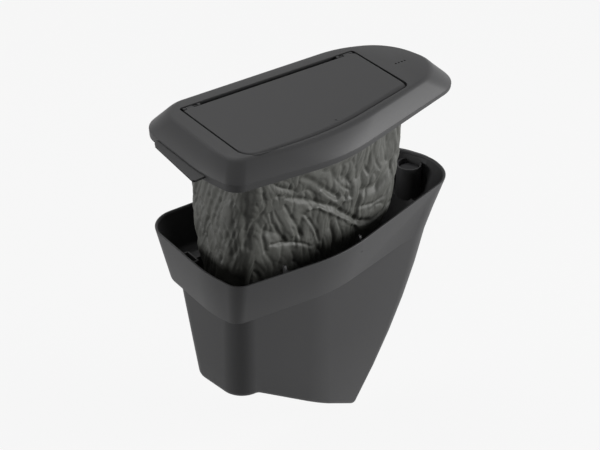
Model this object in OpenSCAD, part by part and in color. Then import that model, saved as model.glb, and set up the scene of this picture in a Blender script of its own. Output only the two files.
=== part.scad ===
// Car trash bin: a deep moulded tub that hangs in a vehicle pocket by its collar, with a
// lift-off cover that carries a sprung lid flap, a press latch and a hanging bag.
// The cover is drawn lifted above the tub. The origin is the centre of the plane
// on which the collar's lower edge rests, with Z up and X along the length.

/* [Tub] */
// Length of the rim
rim_l = 315; // [290:1:340]
// Width of the rim
rim_w = 165; // [155:1:185]
// Height of the collar above its lower edge
collar_h = 53; // [45:1:60]
// Wall thickness of the tub
wall = 3; // [2:0.1:3.6]
// Height of the lip that hangs below the collar's shelf
lip_drop = 6; // [3:0.5:10]
// Depth of the foot below the collar's lower edge
foot_depth = 106.7; // [98:0.1:115]
// Length of the flat foot at the left end
foot_l = 35.8; // [32:0.1:40]
// Fall of the sloping floor for each millimetre of length
floor_slope = 0.653; // [0.55:0.001:0.7]
// Lean of the right end below the collar for each millimetre of depth
end_lean = 0.333; // [0.3:0.001:0.36]
// Bow of the right end, which leans more with depth
end_bow = 1; // [0.7:0.05:1.1]
// Lean of the back wall for each millimetre of depth
back_lean = 0.28; // [0.15:0.01:0.3]
// Lean of the front wall for each millimetre of depth
front_lean = 0.011; // [0:0.001:0.02]
// Width of the body below the collar
body_w = 103.3; // [98:0.1:106]
// Radius of the floor's lower edge
floor_r = 7.4; // [4:0.1:10]

/* [Post tube and catches] */
// Outer diameter of the post tube
tube_d = 27; // [24:0.5:30]
// Wall thickness of the post tube
tube_wall = 1.8; // [1.4:0.1:2.6]
// Drop of the tube's mouth below the rim
tube_drop = 8; // [6:0.5:12]
// Depth of the cushion's face below the tube's mouth
cushion_drop = 5.5; // [4:0.5:8]
// Radial clearance of the cushion in the tube
cushion_fit = 0.05; // [0.02:0.01:0.1]
// Width of the receiver sleeve on the left wall
sleeve_w = 20; // [17:0.5:26]
// Height of the receiver sleeve
sleeve_h = 16; // [12:0.5:20]
// Thickness of the catch lugs
lug_t = 2.2; // [1.6:0.1:3]

/* [Cover] */
// Height that the cover is lifted above its seat
lift = 104.9; // [60:0.1:140]
// Gap between the seated cover and the rim
seat_gap = 0.3; // [0.2:0.1:0.8]
// Height of the cover
cover_h = 24; // [22:0.5:28]
// Wall thickness of the cover
cover_wall = 2.5; // [2:0.1:3]
// Height of the upright lip at the left end
lip_left = 7.8; // [6:0.1:9]
// Height of the upright lip at the right end
lip_right = 3.8; // [3:0.1:5]
// Flare of the lip beyond its lower edge
lip_flare = 0.3; // [0.1:0.1:1]
// Width of the bevel along the front
bevel_front = 15; // [12:0.5:18]
// Reach of the pull ledge beyond the lip
ledge_reach = 12; // [8:0.5:16]
// Thickness of the pull ledge
ledge_t = 2.2; // [1.6:0.1:3]
// Diameter of the vent holes
vent_d = 2.2; // [1.5:0.1:3]
// Number of vent holes
vent_count = 4; // [2:1:5]

/* [Lid flap] */
// Width of the cover to the left of the flap
flap_margin_left = 34.7; // [28:0.1:42]
// Width of the cover to the right of the flap
flap_margin_right = 73.3; // [64:0.1:82]
// Thickness of the flap's panel
flap_t = 2.8; // [2.2:0.1:3.2]
// Gap round the flap
flap_gap = 1.5; // [1:0.1:2.5]
// Width of the hinge groove behind the flap
groove_w = 6.2; // [6:0.1:7.5]
// Width of the bevelled lip along the flap's front edge
flap_lip = 4; // [2:0.5:6]
// Width of the ledge that the flap closes on
flap_seat = 6; // [5:0.5:8]
// Rest gap between the flap's panel and the ledge
flap_rest_gap = 1; // [0.8:0.1:1.6]
// Depth of the liner tray below the panel
liner_h = 3.7; // [3:0.1:4.5]
// Diameter of the hinge pins
pin_d = 2.5; // [2:0.1:3]
// Radial clearance of the hinge barrels on the pins
pin_fit = 0.05; // [0.02:0.01:0.1]
// Radius of the hinge barrels
barrel_r = 2.6; // [2.3:0.1:3]
// Diameter of the hinge spring wire
spring_wire = 0.9; // [0.7:0.1:1.1]

/* [Latch] */
// Distance of the latch from the flap's left edge
latch_x = 107; // [90:1:125]
// Diameter of the latch plunger
plunger_d = 5.6; // [4.5:0.1:6.5]
// Travel of the latch plunger
plunger_travel = 3; // [2:0.5:4]
// Radial clearance of the plunger in its bore
plunger_fit = 0.05; // [0.02:0.01:0.1]

/* [Bag] */
// Length of the bag below the cover's lower edge
bag_drop = 148; // [130:1:152]
// Thickness of the bag's solid
bag_t = 1.2; // [0.8:0.1:2]
// Height of the ring that clamps the bag
ring_h = 5; // [4:0.5:7]
// Thickness of the ring
ring_t = 2.4; // [1.8:0.1:3]

/* [Hidden] */
$fn = 48;

hl = rim_l / 2;
hw = rim_w / 2;
steps = 6;
plastic = [0.13, 0.13, 0.135];

// Corners are [x, y, radius], counterclockwise from the back left. A radius of 0 is a plain point.
rim_pts = [[-hl + 1, hw, 32], [-hl, -hw + 49, 150], [-hl + 9.5, -hw + 9, 18], [-28, -hw - 2.7, 180],
           [hl - 5, -hw + 50, 38], [hl + 1.3, 7, 40], [hl - 19.5, hw - 26, 88], [hl - 73.5, hw, 147]];
collar_in = [[7, -16.4], [8, 0], [7, 13], [0, 15.7], [-32.5, 0.5], [-5, 10], [0, -6], [-4, -16.4]];
collar_pts = [for (i = [0:7]) [rim_pts[i][0] + collar_in[i][0], rim_pts[i][1] + collar_in[i][1],
                               rim_pts[i][2] * (i == 5 ? 0.75 : 0.9)]];

// Walls of the body below the collar, and the levels between which they run straight
body_left = -hl + 13.6;
body_back = body_w / 2 - 1.35;
body_front = body_back - body_w;
nose_x = body_left + 9.7;
mid_x = -33.6;
kink_x = body_left + foot_l;
kink_w = 4;
tip_low = hl - 24.7;
low_z = -95;
deep_z = -185;

function tip_x(z) = z < 0 ? tip_low + end_lean * z - end_bow * z * z / 1000
    : mix(tip_low, hl, z / collar_h);
function body_pts(z) = let (back = body_back + back_lean * z, front = body_front - front_lean * z,
                            tip = tip_x(z))
    [[body_left, back, 16.5], [nose_x, front + 2, 34],
     for (s = [-1:1]) let (x = kink_x + s * kink_w) [x, front + 2 * (mid_x - x) / (mid_x - nose_x), 0],
     [mid_x, front, 180], [tip - 4.7, front + 15.4, 41], [tip + 1, 7 + 0.14 * z, 40],
     [tip - 20, back, 50],
     for (s = [1:-1:-1]) [kink_x + s * kink_w, back, 0]];
function floor_z(x) = x < kink_x - kink_w ? -foot_depth
    : x > kink_x + kink_w ? -foot_depth - floor_slope * (x - kink_x)
    : -foot_depth - floor_slope * pow(x - kink_x + kink_w, 2) / (4 * kink_w);

function unit(v) = v / norm(v);
function xy(p) = [p[0], p[1]];
function inward(a, b) = let (d = unit(b - a)) [-d[1], d[0]];
function mix(a, b, t) = a + (b - a) * t;

// Moves every side of a corner list inward by d.
function inset(P, d) = let (n = len(P)) [for (i = [0:n - 1])
    let (a = xy(P[(i + n - 1) % n]), b = xy(P[i]), c = xy(P[(i + 1) % n]),
         n1 = inward(a, b), n2 = inward(b, c), q = b + d * (n1 + n2) / (1 + n1 * n2))
    [q[0], q[1], P[i][2] == 0 ? 0 : max(P[i][2] - d, 0.5)]];

// Points of the outline with its corners rounded. Where two roundings meet on a side,
// both shrink to share it.
function ring(P, n = steps) = let (m = len(P), T = [for (i = [0:m - 1]) P[i][2] / tan(half_angle(P, i))])
    [for (i = [0:m - 1])
        let (g = (i + m - 1) % m, k = (i + 1) % m, a = xy(P[g]), b = xy(P[i]), c = xy(P[k]),
             before = 0.99 * norm(b - a) / (T[i] + T[g] + 0.01),
             after = 0.99 * norm(c - b) / (T[i] + T[k] + 0.01),
             r = P[i][2] * min(1, before, after))
        for (q = P[i][2] == 0 ? [b] : fillet(a, b, c, r, n)) q];
function half_angle(P, i) = let (m = len(P), b = xy(P[i]))
    P[i][2] == 0 ? 45 : acos(unit(xy(P[(i + m - 1) % m]) - b) * unit(xy(P[(i + 1) % m]) - b)) / 2;
function fillet(a, b, c, r, n) = let (u = unit(a - b), v = unit(c - b), half = acos(u * v) / 2,
    o = b + unit(u + v) * r / sin(half), p = b + u * r / tan(half) - o,
    a0 = atan2(p[1], p[0]), turn = 180 - 2 * half)
    [for (k = [0:n]) o + r * [cos(a0 + turn * k / n), sin(a0 + turn * k / n)]];

function level(R, z) = [for (p = R) [p[0], p[1], z]];

// Point beside side i of a corner list, at share t of the side and out beyond it.
function beside(P, i, t, out) = let (a = xy(P[i]), b = xy(P[(i + 1) % len(P)]))
    mix(a, b, t) - out * inward(a, b);

// Skin through rings of equal count. A fold is the index where the lower end starts to slope:
// from there both ends are closed by pairs of triangles across the width.
module skin(rings, fold = -1) {
    n = len(rings[0]);
    k = len(rings);
    s = fold + n - 1;
    sides = [for (j = [0:k - 2], i = [0:n - 1]) let (a = j * n + i, b = j * n + (i + 1) % n)
        each [[a, b + n, b], [a, a + n, b + n]]];
    low = fold < 0 ? [[for (i = [0:n - 1]) i]]
        : concat([[n - 1, for (i = [0:fold]) i]],
                 [for (i = [fold:(s - 3) / 2]) each [[i, i + 1, s - i - 1], [i, s - i - 1, s - i]]]);
    top = [for (f = low) [for (i = [len(f) - 1:-1:0]) f[i] + (k - 1) * n]];
    polyhedron([for (r = rings) each r], concat(sides, low, top));
}

module plate(P, z0, z1) {
    translate([0, 0, z0]) linear_extrude(z1 - z0) polygon(ring(P));
}

module frame_ring(P, z0, z1, inner, outer) {
    difference() {
        plate(inset(P, -outer), z0, z1);
        plate(inset(P, -inner), z0 - 1, z1 + 1);
    }
}

// Tub
function collar_at(z) = [for (i = [0:7]) mix(collar_pts[i], rim_pts[i], z / collar_h)];
body_fold = 2 * (steps + 1);

// Floor ring of the body, hugging the folded floor at height j above it.
function floor_ring(d, j) = let (A = ring(inset(body_pts(low_z), d)), B = ring(inset(body_pts(deep_z), d)))
    [for (i = [0:len(A) - 1])
        let (m = (A[i] - B[i]) / (low_z - deep_z), q = A[i] - m * low_z, x = q[0] - m[0] * foot_depth,
             z = x > kink_x + kink_w
                ? (-foot_depth + j - floor_slope * (q[0] - kink_x)) / (1 + floor_slope * m[0])
                : floor_z(x) + j)
        [q[0] + m[0] * z, q[1] + m[1] * z, z]];

module collar_form() {
    skin([level(ring(collar_at(0)), 0),
          level(ring(collar_at(collar_h - 1.2)), collar_h - 1.2),
          level(ring(inset(rim_pts, 1)), collar_h)]);
}

module body_form(d, j, r, top) {
    skin(concat([for (a = [0:30:90]) floor_ring(d + r * (1 - sin(a)), j + r * (1 - cos(a)))],
                [for (z = [low_z, low_z / 2, 0, top]) level(ring(inset(body_pts(z), d)), z)]), body_fold);
}

shelf_z = lip_drop + wall;
lug_x = [-88.5, 2.5];
post_r = 8;
post_drop = 11.6;
tube_x = hl - 18.8;
tube_y = hw - 59.8;
tube_top = collar_h - tube_drop;
tube_bore_r = tube_d / 2 - tube_wall;
cushion_top = tube_top - cushion_drop;
sleeve_y = 7;
sleeve_top = collar_h - 6;
sleeve_x = -hl + 13;
sleeve_wall = 1.8;
sleeve_floor = sleeve_top - sleeve_h;

module tub() {
    color(plastic) difference() {
        union() {
            difference() {
                union() {
                    difference() {
                        collar_form();
                        skin([level(ring(inset(collar_pts, wall)), -1),
                              level(ring(inset(collar_at(lip_drop), wall)), lip_drop)]);
                    }
                    body_form(0, 0, floor_r, collar_h - 0.4);
                }
                skin([level(ring(inset(collar_at(shelf_z), wall + 6)), shelf_z),
                      level(ring(inset(collar_at(shelf_z + 6), wall)), shelf_z + 6),
                      level(ring(inset(collar_at(collar_h - 1), wall)), collar_h - 1),
                      level(ring(inset(rim_pts, wall - 1.2)), collar_h + 0.2)]);
                body_form(wall, wall, floor_r - wall, collar_h - 2);
            }
            translate([tube_x, tube_y, lip_drop]) cylinder(h = tube_top - lip_drop, d = tube_d);
            intersection() {
                union() {
                    sleeve();
                    lug(lug_x[0], -hw + 5, 11);
                    lug(lug_x[1], -hw + 7.5, 8.5);
                }
                skin([level(ring(inset(collar_at(0), 1)), 0),
                      level(ring(inset(rim_pts, 1)), collar_h),
                      level(ring(inset(rim_pts, 1)), collar_h + 5)]);
            }
        }
        translate([tube_x, tube_y, shelf_z]) cylinder(h = collar_h, r = tube_bore_r);
    }
}

module sleeve() {
    difference() {
        translate([sleeve_x - 14, sleeve_y - sleeve_w / 2, sleeve_floor]) cube([14, sleeve_w, sleeve_h]);
        translate([sleeve_x - 20, sleeve_y - sleeve_w / 2 + sleeve_wall, sleeve_floor - 1])
            cube([20 - sleeve_wall, sleeve_w - 2 * sleeve_wall, sleeve_h + 2]);
        translate([-hl - 10, -50, sleeve_floor - 1]) cube([10.5, 100, sleeve_h + 2]);
    }
}

// Upright catch lug, rooted in the front wall at y and reaching inward by reach.
module lug(x, y, reach) {
    translate([x + lug_t / 2, y, collar_h]) rotate([90, 0, -90]) linear_extrude(lug_t)
        polygon([[1, -17], [-3, -17], [-reach, -9], [-reach, 1], [2.5 - reach, 1], [4 - reach, -2.5],
                 [1, -2.5]]);
}

module post_cushion() {
    color([0.36, 0.36, 0.37]) translate([tube_x, tube_y, shelf_z]) {
        cylinder(h = cushion_top - shelf_z - 3.5, r = tube_bore_r - cushion_fit);
        cylinder(h = cushion_top - shelf_z, r = tube_bore_r - 1.1);
    }
}

// Cover, drawn with its lower edge at zero and then raised
cover_z = collar_h + seat_gap + lift;
module at_cover() {
    translate([0, 0, cover_z]) children();
}

top_pts = [[-hl + 17, hw - 10.5, 30], [-hl + 17, -hw + 49, 127], [-hl + 22.8, -hw + 10.5 + bevel_front, 26],
           [-35.7, -hw - 7 + bevel_front, 300], [hl - 35, -hw + 36.5 + bevel_front, 74], [hl - 18.5, 0, 48],
           [hl - 29.6, hw - 32, 59], [hl - 82.2, hw - 10.5, 104]];

function lip_z(x) = lip_left + (lip_right - lip_left) * (x + hl) / rim_l;
function lip_ring(R, d) = [for (p = R) [p[0], p[1], lip_z(p[0]) + d]];

flap_left = -hl + flap_margin_left;
flap_right = hl - flap_margin_right;
flap_l = flap_right - flap_left;
flap_back = hw - 31.6;
flap_front = -hw + 25;
flap_bow = [-29.4, -hw + 19.8];
flap_side = -hw + 48.8;
flap_pts = [[flap_left, flap_back, 2], [flap_left, flap_front, 18], [flap_bow[0], flap_bow[1], 300],
            [flap_right + 1.2, flap_side, 9], [flap_right, flap_back, 3]];
flap_z = cover_h - flap_t;
seat_z = flap_z - flap_rest_gap;
hole_left = flap_left + flap_seat;
hole_right = flap_right - flap_seat;
hole_back = flap_back - flap_seat;
hole_pts = [[hole_left, hole_back, 8], [hole_left, flap_front + flap_seat, 14],
            [flap_bow[0], flap_bow[1] + flap_seat, 260], [hole_right + 1, flap_side + flap_seat, 9],
            [hole_right, hole_back, 8]];
groove_back = flap_back + groove_w;
recess_left = flap_left - flap_gap;
recess_pts = [[recess_left, groove_back, 3], [recess_left, flap_front - flap_gap, 19],
              [flap_bow[0], flap_bow[1] - flap_gap, 300],
              [flap_right + 1.2 + flap_gap, flap_side - flap_gap * 1.1, 10],
              [flap_right + flap_gap, groove_back, 4]];
groove_front = flap_back - flap_seat + 2;
groove_floor = seat_z - 6;
axis_y = flap_back + barrel_r + 0.4;
axis_z = cover_h - barrel_r - 0.1;
ear_w = 3;
barrel_w = 8;
spring_w = 4 * spring_wire + 0.6;
ear_a = 1.5;
barrel_a = ear_a + ear_w + 0.4;
spring_a = barrel_a + barrel_w + 0.4;
ear_b = spring_a + spring_w + 0.4;
pin_l = ear_b + ear_w - ear_a;

chute_wall = 2.2;
chute_z = 9;
flange_t = 2.2;
boss_xy = [for (b = [[0, 0.155, 13.4], [0, 0.82, 13.4], [1, 0.544, 12.2],
                     [2, 0.585, 14.8], [3, 0.16, 14.2], [3, 0.847, 14.8]])
    beside(hole_pts, b[0], b[1], b[2])];
boss_r = 3;
screw_r = 1.3;
vent_x = flap_right + 19;
vent_y = 7.5;
vent_pitch = 3.8;

module cover() {
    color(plastic) at_cover() difference() {
        union() {
            difference() {
                union() {
                    skin([level(ring(rim_pts), 0), lip_ring(ring(inset(rim_pts, -lip_flare)), 0),
                          level(ring(top_pts), cover_h - 1.6), level(ring(inset(top_pts, 2.4)), cover_h)]);
                    pull_ledge();
                }
                skin([level(ring(inset(rim_pts, cover_wall)), -1),
                      lip_ring(ring(inset(rim_pts, cover_wall)), -0.6),
                      level(ring(inset(top_pts, cover_wall)), cover_h - cover_wall)]);
            }
            plate(inset(recess_pts, -2), seat_z - 2.4, cover_h - 1);
            groove_block();
            frame_ring(hole_pts, chute_z, seat_z, 0, chute_wall);
            intersection() {
                union() {
                    for (p = boss_xy) translate([p[0], p[1], chute_z]) cylinder(h = cover_h, r = boss_r);
                    translate([tube_x, tube_y, -post_drop]) post();
                    for (x = lug_x) catch_ribs(x);
                }
                skin([level(ring(inset(rim_pts, 1)), -20), lip_ring(ring(inset(rim_pts, 1)), 0),
                      level(ring(inset(top_pts, 1)), cover_h - 1.5)]);
            }
        }
        plate(recess_pts, seat_z, cover_h + 1);
        plate(hole_pts, chute_z - 1, seat_z + 1);
        translate([recess_left, groove_front, groove_floor])
            cube([flap_l + 2 * flap_gap, groove_back - groove_front, cover_h]);
        for (p = boss_xy) translate([p[0], p[1], chute_z - 1]) cylinder(h = 9, r = screw_r - 0.2);
        for (i = [0:vent_count - 1]) translate([vent_x + vent_pitch * i, vent_y, cover_h - 6])
            cylinder(h = 9, d = vent_d);
        at_latch() for (s = [-1, 1]) translate([s * latch_screw_x, -chute_wall - 2, latch_mid])
            rotate([-90, 0, 0]) cylinder(h = 6, r = screw_r - 0.1);
    }
    color(plastic) at_cover() {
        hinge_ears(flap_left, 1);
        hinge_ears(flap_right, -1);
    }
}

module pull_ledge() {
    translate([0, 0, 3.8]) linear_extrude(ledge_t)
        polygon([[-hl + 4, -38], [-hl + 4, 46], [-hl - 2.5, 44], [-hl - ledge_reach + 1.5, 34],
                 [-hl - ledge_reach, 31], [-hl - ledge_reach, -36], [-hl - ledge_reach + 1, -38]]);
}

module groove_block() {
    translate([recess_left - 2, groove_front - 2, groove_floor - 2])
        cube([flap_l + 2 * flap_gap + 4, groove_back - groove_front + 4, cover_h - 1 - groove_floor]);
}

module post() {
    difference() {
        cylinder(h = cover_h + post_drop, r = post_r);
        translate([0, 0, -1]) cylinder(h = 22, r = post_r - 2);
    }
}

module catch_ribs(x) {
    for (s = [-1, 1]) translate([x + s * (lug_t / 2 + 1.6) - 0.7, -hw + 4, 1.5]) cube([1.4, 12, 6]);
}

module hinge_ears(x, way) {
    for (a = [ear_a, ear_b]) translate([x + way * (a + ear_w / 2), axis_y, axis_z]) {
        difference() {
            union() {
                rotate([0, 90, 0]) cylinder(h = ear_w, r = barrel_r, center = true);
                translate([-ear_w / 2, -barrel_r, groove_floor - axis_z - 0.5])
                    cube([ear_w, 2 * barrel_r, axis_z - groove_floor + 0.5]);
            }
            rotate([0, 90, 0]) cylinder(h = ear_w + 2, r = pin_d / 2 + 0.01, center = true);
        }
    }
}

module hinge_pin(x, way) {
    color([0.6, 0.6, 0.62]) at_cover() translate([x + way * (ear_a + pin_l / 2), axis_y, axis_z])
        rotate([0, 90, 0]) cylinder(h = pin_l, r = pin_d / 2, center = true);
}

// Closely wound hinge spring with one leg under the flap's panel.
module hinge_spring(x, way) {
    coil_r = pin_d / 2 + spring_wire / 2 + 0.15;
    color([0.55, 0.55, 0.57]) at_cover()
        translate([x + way * (spring_a + spring_w / 2), axis_y, axis_z]) {
            rotate([0, 90, 0]) translate([0, 0, -(spring_w - spring_wire) / 2])
                coil(coil_r, spring_wire, 3, spring_w - spring_wire);
            translate([way * (spring_w - spring_wire) / 2, 0, -coil_r]) rotate([78, 0, 0])
                cylinder(h = 5.5, d = spring_wire * 0.9);
        }
}

module flap_panel() {
    front = [[flap_left + 0.6, flap_back, 2], [flap_left + 0.6, flap_front + flap_lip, 17],
             [flap_bow[0], flap_bow[1] + flap_lip, 300], [flap_right - 1, flap_side + flap_lip, 8],
             [flap_right - 0.6, flap_back, 3]];
    color([0.14, 0.14, 0.145]) at_cover() difference() {
        union() {
            skin([level(ring(flap_pts), flap_z), level(ring(flap_pts), cover_h - 1.4),
                  level(ring(front), cover_h)]);
            for (e = [[flap_left, 1], [flap_right, -1]]) barrel(e[0], e[1]);
            for (p = flap_screw_xy) translate([p[0], p[1], flap_z - liner_h + liner_t])
                cylinder(h = liner_h - liner_t + 0.5, r = 3);
        }
        for (e = [[flap_left, 1], [flap_right, -1]])
            translate([e[0] + e[1] * (barrel_a + barrel_w / 2), axis_y, axis_z])
                rotate([0, 90, 0]) cylinder(h = barrel_w + 2, r = pin_d / 2 + pin_fit, center = true);
        for (p = flap_screw_xy) translate([p[0], p[1], flap_z - liner_h])
            cylinder(h = liner_h + 1, r = screw_r - 0.3);
        at_latch() translate([0, latch_depth, cover_h - 0.5]) cylinder(h = 1, r = 1.8);
    }
}

module barrel(x, way) {
    translate([x + way * (barrel_a + barrel_w / 2), axis_y, axis_z]) {
        rotate([0, 90, 0]) cylinder(h = barrel_w, r = barrel_r, center = true);
        translate([-barrel_w / 2, -barrel_r - 2.4, flap_z - axis_z])
            cube([barrel_w, barrel_r + 2.4, barrel_r - 0.2 - flap_z + axis_z]);
    }
}

liner_pts = inset(hole_pts, 2.4);
liner_t = 1.8;
flap_screw_xy = [[flap_left + 18, flap_back - 18.9], [flap_left + 18, flap_front + 19.5],
                 [flap_right - 18, flap_back - 18.9], [flap_right - 18, flap_side + 13.7]];

module flap_liner() {
    color(plastic) at_cover() difference() {
        plate(liner_pts, flap_z - liner_h, flap_z);
        plate(inset(liner_pts, liner_t), flap_z - liner_h + liner_t, flap_z + 1);
        for (p = flap_screw_xy) translate([p[0], p[1], flap_z - liner_h - 1])
            cylinder(h = liner_h, r = screw_r + 0.2);
    }
}

// Latch at the middle of the opening's front edge, set square to the edge there
latch_at = flap_left + latch_x;
latch_side = let (R = ring(hole_pts)) [for (i = [0:len(R) - 2])
    if (R[i][1] < 0 && R[i][0] <= latch_at && R[i + 1][0] > latch_at) [R[i], R[i + 1]]][0];
latch_dir = unit(latch_side[1] - latch_side[0]);
latch_foot = latch_side[0] + latch_dir * (latch_at - latch_side[0][0]) / latch_dir[0];
latch_depth = 6.3;
latch_mid = chute_z + 3;
latch_screw_x = 5.8;
latch_top = flap_z - liner_h - 2.6;
striker_z = flap_z - liner_h - 1.4;
latch_low = latch_top - 13 - plunger_travel;
latch_wire = 0.6;
latch_turns = 5;
latch_spring_h = latch_turns * latch_wire + plunger_travel;
plunger_low = latch_low + 2 + latch_spring_h;
plunger_top = striker_z - 0.3;

module at_latch() {
    translate([latch_foot[0], latch_foot[1], 0]) rotate(atan2(latch_dir[1], latch_dir[0])) children();
}

module latch_housing() {
    color(plastic) at_cover() at_latch() difference() {
        translate([-8, 0.8, latch_low]) cube([16, latch_depth + 4.2, latch_top - latch_low]);
        translate([0, latch_depth, latch_low + 2]) cylinder(h = 20, r = plunger_d / 2 + plunger_fit);
        for (s = [-1, 1]) translate([s * latch_screw_x, -1, latch_mid]) rotate([-90, 0, 0])
            cylinder(h = 6.5, r = screw_r - 0.2);
    }
}

module latch_plunger() {
    color([0.3, 0.3, 0.31]) at_cover() at_latch() translate([0, latch_depth, plunger_low]) {
        cylinder(h = plunger_top - plunger_low - 0.8, r = plunger_d / 2);
        cylinder(h = plunger_top - plunger_low, r = plunger_d / 2 - 0.7);
    }
}

module latch_spring() {
    color([0.6, 0.6, 0.62]) at_cover() at_latch()
        translate([0, latch_depth, latch_low + 2 + latch_wire / 2])
            coil(plunger_d / 2 - 0.6, latch_wire, latch_turns, latch_spring_h - latch_wire);
}

// Round wire swept along a helix that starts at zero and climbs by rise.
module coil(coil_r, wire, turns, rise) {
    n = 6;
    k = turns * 10;
    rings = [for (m = [0:k]) let (a = 36 * m)
        [for (j = [0:n - 1]) let (q = wire / 2 * [cos(60 * j), sin(60 * j)])
            [(coil_r + q[0]) * cos(a), (coil_r + q[0]) * sin(a), rise * m / k + q[1]]]];
    sides = [for (m = [0:k - 1], i = [0:n - 1]) let (a = m * n + i, b = m * n + (i + 1) % n)
        each [[a, b, b + n], [a, b + n, a + n]]];
    polyhedron([for (r = rings) each r],
               concat(sides, [[for (i = [0:n - 1]) n - 1 - i], [for (i = [0:n - 1]) k * n + i]]));
}

module latch_striker() {
    color([0.6, 0.6, 0.62]) at_cover() at_latch() translate([0, latch_depth, striker_z])
        cylinder(h = flap_z - liner_h - striker_z, r = 3.6);
}

// Inner frame under the cover, with the collar that carries the bag
collar_low = -2;
bag_in = chute_wall + 0.6;

module inner_frame() {
    color(plastic) at_cover() difference() {
        union() {
            frame_ring(hole_pts, chute_z - flange_t, chute_z, 0, 12.5);
            frame_ring(hole_pts, collar_low, chute_z - flange_t + 0.5, bag_in - 2, bag_in);
            for (p = boss_xy) translate([p[0], p[1], chute_z - flange_t]) cylinder(h = flange_t, r = 5);
            hook();
        }
        for (p = boss_xy) translate([p[0], p[1], 0]) cylinder(h = 20, r = screw_r + 0.2);
    }
}

module hook() {
    y0 = sleeve_y - 7;
    translate([-hl + 8, y0, -16]) cube([2.2, 14, 16 + chute_z]);
    translate([-hl + 8, y0, chute_z - flange_t]) cube([22, 14, flange_t]);
    translate([-hl + 7, y0, -15]) cube([1.5, 14, 2]);
}

module bag_ring() {
    color(plastic) at_cover() frame_ring(hole_pts, collar_low, collar_low + ring_h,
                                         bag_in + bag_t + 0.6, bag_in + bag_t + 0.6 + ring_t);
}

// Corners of the bag's ring at a level: left and back are set in from the body's walls,
// front from its front wall and right from the flap's right edge. The front bows out at bow.
function bag_pts(left, back, front, right, bow) = let (w = body_left + left, n = body_back - back,
    e = flap_right - right)
    [[w, n, 14], [w, body_front + front, 26], [bow, body_front + front - 1.5, 240],
     [e, body_front + 16, 20], [e, n, 16]];

bag_hip_z = bag_drop - 38;
bag_mid_z = bag_hip_z - 55;
bag_top = ring(inset(hole_pts, -bag_in - 0.3 - bag_t));
bag_mid = ring(bag_pts(15.9, 7.3, 7.5, 0.2, -30));
bag_hip = ring(bag_pts(10.9, 21.3, 9, 10.2, -25));
bag_low = ring(bag_pts(11.9, 31.3, 11, 24.2, -20));

function shrink(R, d) = let (o = [-25, 0]) [for (p = R) let (v = p - o) o + v * (1 - d / norm(v))];

module bag_form(d, top) {
    skin([level(shrink(bag_low, 14 + d), -bag_drop + d),
          level(shrink(bag_low, 4 + d), -bag_drop + 4 + d),
          level(shrink(bag_low, d), -bag_drop + 13),
          level(shrink(bag_hip, d), -bag_hip_z),
          level(shrink(bag_mid, d), -bag_mid_z),
          level(shrink(bag_top, d), collar_low - 3),
          level(shrink(bag_top, d), top)]);
}

module bag() {
    color([0.22, 0.22, 0.2]) at_cover() difference() {
        bag_form(0, collar_low + ring_h);
        bag_form(bag_t, collar_low + ring_h + 1);
    }
}

module pan_screw(h, r) {
    cylinder(h = 1.4, r = r * 2);
    cylinder(h = h, r = r);
}

module frame_screws() {
    color([0.6, 0.6, 0.62]) at_cover()
        for (p = boss_xy) translate([p[0], p[1], chute_z - flange_t - 1.4]) pan_screw(9, screw_r - 0.2);
}

module flap_screws() {
    color([0.6, 0.6, 0.62]) at_cover()
        for (p = flap_screw_xy) translate([p[0], p[1], flap_z - liner_h - 1.4]) pan_screw(6, screw_r - 0.3);
}

module latch_screws() {
    color([0.6, 0.6, 0.62]) at_cover() at_latch() for (s = [-1, 1])
        translate([s * latch_screw_x, -chute_wall - 1.5, latch_mid])
            rotate([-90, 0, 0]) pan_screw(8, screw_r - 0.25);
}

module flap_buffers() {
    color([0.1, 0.1, 0.1]) at_cover()
        for (p = [[flap_left + 3, flap_back - 14.9], [flap_left + 3, flap_front + 23.5],
                  [flap_right - 3, flap_back - 14.9], [flap_right - 3, flap_side + 11.7]])
            translate([p[0], p[1], seat_z]) cylinder(h = flap_rest_gap - 0.3, r = 2.2);
}

tub();
post_cushion();
cover();
inner_frame();
bag_ring();
bag();
flap_panel();
flap_liner();
latch_striker();
hinge_pin(flap_left, 1);  // hinge_pin_left
hinge_pin(flap_right, -1);  // hinge_pin_right
hinge_spring(flap_left, 1);  // spring_left
hinge_spring(flap_right, -1);  // spring_right
latch_housing();
latch_plunger();
latch_spring();
frame_screws();
latch_screws();
flap_screws();
flap_buffers();
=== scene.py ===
"""Looks of the car trash bin: smooth moulded shells, a crumpled film bag and a pale studio."""

import math

import bmesh
import bpy
import numpy as np
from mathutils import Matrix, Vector, geometry, noise


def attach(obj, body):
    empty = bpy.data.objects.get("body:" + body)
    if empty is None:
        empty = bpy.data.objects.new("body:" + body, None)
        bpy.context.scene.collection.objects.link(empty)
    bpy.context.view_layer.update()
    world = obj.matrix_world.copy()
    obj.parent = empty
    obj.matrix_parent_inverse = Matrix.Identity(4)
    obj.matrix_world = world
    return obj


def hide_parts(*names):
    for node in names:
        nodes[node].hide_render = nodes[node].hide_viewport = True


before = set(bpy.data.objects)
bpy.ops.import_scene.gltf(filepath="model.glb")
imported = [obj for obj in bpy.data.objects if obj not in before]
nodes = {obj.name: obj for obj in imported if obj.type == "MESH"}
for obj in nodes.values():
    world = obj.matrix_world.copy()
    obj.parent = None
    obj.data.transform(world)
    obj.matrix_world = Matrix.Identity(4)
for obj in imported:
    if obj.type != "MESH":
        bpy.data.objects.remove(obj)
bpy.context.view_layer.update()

MM = 0.001
STEPS = 14
SHARP = 32

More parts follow.
